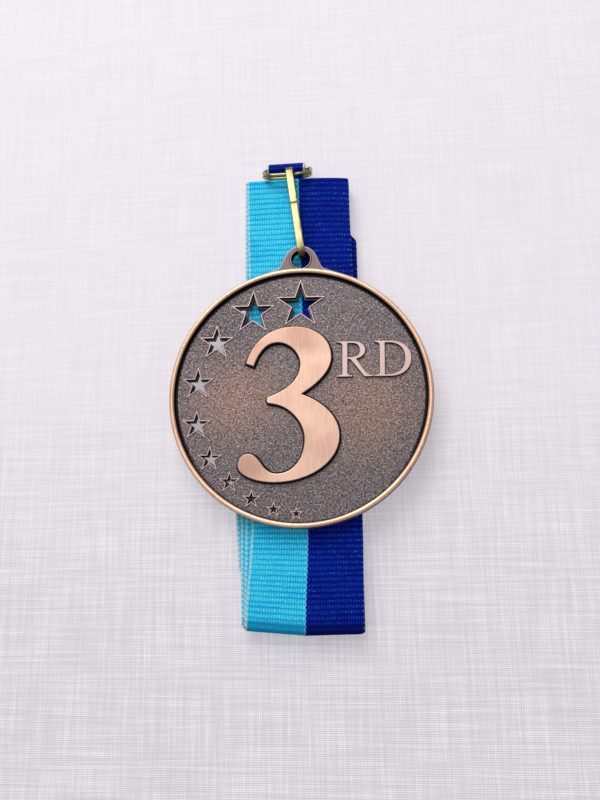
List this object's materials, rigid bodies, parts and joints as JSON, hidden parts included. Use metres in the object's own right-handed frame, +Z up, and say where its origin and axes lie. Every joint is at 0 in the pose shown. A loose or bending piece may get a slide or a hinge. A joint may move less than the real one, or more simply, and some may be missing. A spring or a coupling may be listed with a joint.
{
  "type": "medal",
  "caption": "Round die-cast award medal with a beaded rim, a large numeral and star cut-outs, hung by a strip link and split ring on a folded two-tone neck ribbon.",
  "frame": {"origin": "on the table, straight below the centre of the disc", "axes": "+Z up from the table, +Y from the disc towards its lug, ring and the ribbon's sewn end, +X to the right as the numeral is read"},
  "size_m": [0.05, 0.0938, 0.0075],
  "materials": {
    "antique_copper": "antiqued copper plate, dark grained field, bright worn relief",
    "pale_brass": "bright pale brass",
    "ribbon_weave": "ribbed woven ribbon, half light blue and half royal blue, pale selvedges",
    "sewing_thread": "matte thread"
  },
  "bodies": {
    "ribbon": {"neck_ribbon": "ribbon_weave", "ribbon_stitching": "sewing_thread"},
    "ring": {"split_ring": "pale_brass"},
    "link": {"strap_link": "pale_brass"},
    "medal": {"medal_disc": "antique_copper"}
  },
  "joints": [
    {"name": "ring_swing", "type": "hinge", "parent": "ribbon", "child": "ring", "pos_m": [-0.0021, 0.04863, 0.00139], "axis": [-1, 0, 0], "range_deg": [0, 45]},
    {"name": "link_swing", "type": "hinge", "parent": "ring", "child": "link", "pos_m": [-0.00127, 0.0451, 0.0058], "axis": [-1, 0, 0], "range_deg": [0, 90]},
    {"name": "medal_swing", "type": "hinge", "parent": "link", "child": "medal", "pos_m": [0.00071, 0.02902, 0.0058], "axis": [-1, 0, 0], "range_deg": [0, 60]}
  ]
}
